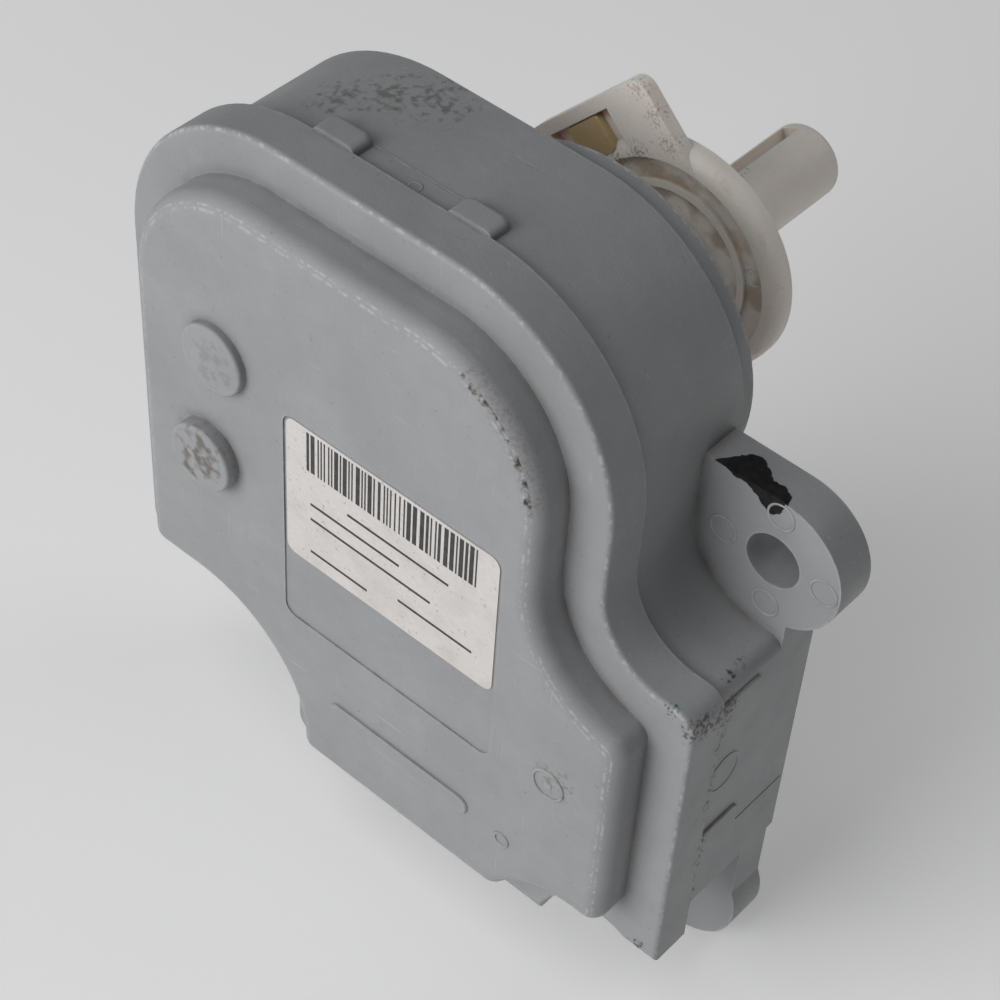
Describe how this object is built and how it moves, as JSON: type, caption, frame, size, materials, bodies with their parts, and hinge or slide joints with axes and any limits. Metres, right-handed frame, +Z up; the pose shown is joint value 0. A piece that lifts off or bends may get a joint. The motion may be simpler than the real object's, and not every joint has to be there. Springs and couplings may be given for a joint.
{
  "type": "flap actuator",
  "caption": "Electric flap actuator for a vehicle heater box: geared motor in a grey case, three fixing lugs and a white lever with a drive post.",
  "frame": {"origin": "output shaft axis in the plane of the three lugs' rear faces", "axes": "+Y along the output shaft, away from the cover; +Z up the long side of the case, towards the output shaft's rounded end; +X to the side lug"},
  "size_m": [0.0669, 0.0537, 0.077],
  "materials": {
    "case_grey": "fine moulded texture",
    "label_paper": "satin paper",
    "lever_white": "moulded acetal",
    "gear_white": "moulded acetal",
    "gear_natural": "moulded nylon",
    "pin_steel": "ground",
    "can_steel": "zinc plated",
    "cap_black": "moulded",
    "bush_bronze": "sintered",
    "worm_brass": "machined",
    "magnet_dark": "sintered ferrite",
    "core_iron": "laminated",
    "coil_copper": "enamelled copper",
    "contact_brass": "stamped",
    "board_green": "solder mask",
    "track_carbon": "screen printed",
    "pin_tin": "tin plated"
  },
  "bodies": {
    "case": {"rear_housing": "case_grey", "front_cover": "case_grey", "label": "label_paper", "first_gear_pin": "pin_steel", "second_gear_pin": "pin_steel", "third_gear_pin": "pin_steel", "motor_can": "can_steel", "motor_end_cap": "cap_black", "motor_bush_front": "bush_bronze", "motor_bush_rear": "bush_bronze", "magnet_upper": "magnet_dark", "magnet_lower": "magnet_dark", "brush_upper": "contact_brass", "brush_lower": "contact_brass", "motor_lead_upper": "contact_brass", "motor_lead_lower": "contact_brass", "circuit_board": "board_green", "outer_track": "track_carbon", "inner_track": "track_carbon", "connector_pin_1": "pin_tin", "connector_pin_2": "pin_tin", "connector_pin_3": "pin_tin", "connector_pin_4": "pin_tin", "connector_pin_5": "pin_tin"},
    "output": {"output_gear": "gear_white", "output_lever": "lever_white", "wiper": "contact_brass"},
    "third": {"third_gear": "gear_white"},
    "second": {"second_gear": "gear_white"},
    "first": {"worm_wheel": "gear_natural"},
    "rotor": {"motor_shaft": "pin_steel", "motor_worm": "worm_brass", "rotor_core": "core_iron", "coil_1": "coil_copper", "coil_2": "coil_copper", "coil_3": "coil_copper", "commutator": "contact_brass"}
  },
  "joints": [
    {"name": "output_turn", "type": "hinge", "parent": "case", "child": "output", "pos_m": [0, 0, 0], "axis": [0, 1, 0], "range_deg": [-50, 50]},
    {"name": "third_gear_turn", "type": "hinge", "parent": "case", "child": "third", "pos_m": [-0.01681, -0.009, 0.00448], "axis": [0, 1, 0], "range_deg": [-191.9, 191.9]},
    {"name": "second_gear_turn", "type": "hinge", "parent": "case", "child": "second", "pos_m": [-0.0218, -0.009, -0.0039], "axis": [0, 1, 0], "range_deg": [-556.4, 556.4]},
    {"name": "worm_wheel_turn", "type": "hinge", "parent": "case", "child": "first", "pos_m": [-0.02305, -0.009, -0.01583], "axis": [0, 1, 0], "range_deg": [-2114.3, 2114.3]},
    {"name": "motor_turn", "type": "hinge", "parent": "case", "child": "rotor", "pos_m": [0, -0.0095, -0.02433], "axis": [1, 0, 0], "range_deg": [-54971.3, 54971.3]}
  ],
  "couplings": [
    {"joint": "third_gear_turn", "follows": "output_turn", "ratio": -3.8333},
    {"joint": "second_gear_turn", "follows": "output_turn", "ratio": 11.117},
    {"joint": "worm_wheel_turn", "follows": "output_turn", "ratio": -42.243},
    {"joint": "motor_turn", "follows": "output_turn", "ratio": -1098.3}
  ]
}
